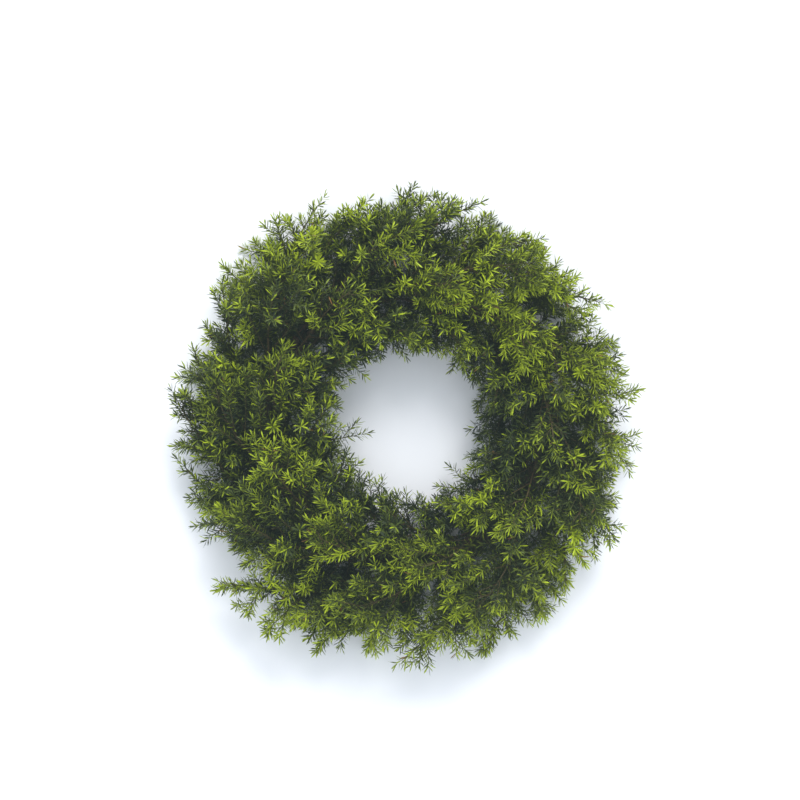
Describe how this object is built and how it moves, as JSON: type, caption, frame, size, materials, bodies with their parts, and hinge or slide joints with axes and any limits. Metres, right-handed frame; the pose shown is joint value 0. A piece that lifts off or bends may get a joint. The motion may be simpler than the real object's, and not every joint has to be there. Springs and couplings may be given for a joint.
{
  "type": "evergreen christmas wreath",
  "caption": "Round wreath of short-needled evergreen sprigs bound with wire to a twisted vine ring, with a wire loop at the back to hang it by.",
  "frame": {"origin": "on the surface that the wreath lies on, under the middle of its outline", "axes": "+Z out of the wreath's front, its back lying on the surface; +Y towards the top of the wreath, where the hanging loop is; +X to the right as seen from the front"},
  "size_m": [0.3554, 0.3708, 0.081],
  "materials": {
    "vine_bark": "rough dry bark, peeling in long fibres",
    "wire_paint": "dark green painted florist's wire",
    "loop_steel": "dark annealed wire",
    "outer_foliage": "short soft conifer needles on thin woody twigs, yellow-green at the tips",
    "front_foliage": "short soft conifer needles on thin woody twigs, bright yellow-green at the tips",
    "inner_foliage": "short soft conifer needles on thin woody twigs, deep green"
  },
  "bodies": {
    "root": {"vine_strand_1": "vine_bark", "vine_strand_2": "vine_bark", "vine_strand_3": "vine_bark", "binding_wire": "wire_paint", "hanging_loop": "loop_steel", "sprig_outer_01": "outer_foliage", "sprig_outer_02": "outer_foliage", "sprig_outer_03": "outer_foliage", "sprig_outer_04": "outer_foliage", "sprig_outer_05": "outer_foliage", "sprig_outer_06": "outer_foliage", "sprig_outer_07": "outer_foliage", "sprig_outer_08": "outer_foliage", "sprig_outer_09": "outer_foliage", "sprig_outer_10": "outer_foliage", "sprig_outer_11": "outer_foliage", "sprig_outer_12": "outer_foliage", "sprig_outer_13": "outer_foliage", "sprig_outer_14": "outer_foliage", "sprig_outer_15": "outer_foliage", "sprig_outer_16": "outer_foliage", "sprig_outer_17": "outer_foliage", "sprig_outer_18": "outer_foliage", "sprig_front_01": "front_foliage", "sprig_front_02": "front_foliage", "sprig_front_03": "front_foliage", "sprig_front_04": "front_foliage", "sprig_front_05": "front_foliage", "sprig_front_06": "front_foliage", "sprig_front_07": "front_foliage", "sprig_front_08": "front_foliage", "sprig_front_09": "front_foliage", "sprig_front_10": "front_foliage", "sprig_front_11": "front_foliage", "sprig_front_12": "front_foliage", "sprig_front_13": "front_foliage", "sprig_front_14": "front_foliage", "sprig_front_15": "front_foliage", "sprig_front_16": "front_foliage", "sprig_front_17": "front_foliage", "sprig_front_18": "front_foliage", "sprig_inner_01": "inner_foliage", "sprig_inner_02": "inner_foliage", "sprig_inner_03": "inner_foliage", "sprig_inner_04": "inner_foliage", "sprig_inner_05": "inner_foliage", "sprig_inner_06": "inner_foliage", "sprig_inner_07": "inner_foliage", "sprig_inner_08": "inner_foliage", "sprig_inner_09": "inner_foliage", "sprig_inner_10": "inner_foliage", "sprig_inner_11": "inner_foliage", "sprig_inner_12": "inner_foliage", "sprig_inner_13": "inner_foliage", "sprig_inner_14": "inner_foliage", "sprig_inner_15": "inner_foliage", "sprig_inner_16": "inner_foliage", "sprig_inner_17": "inner_foliage", "sprig_inner_18": "inner_foliage"}
  },
  "joints": []
}
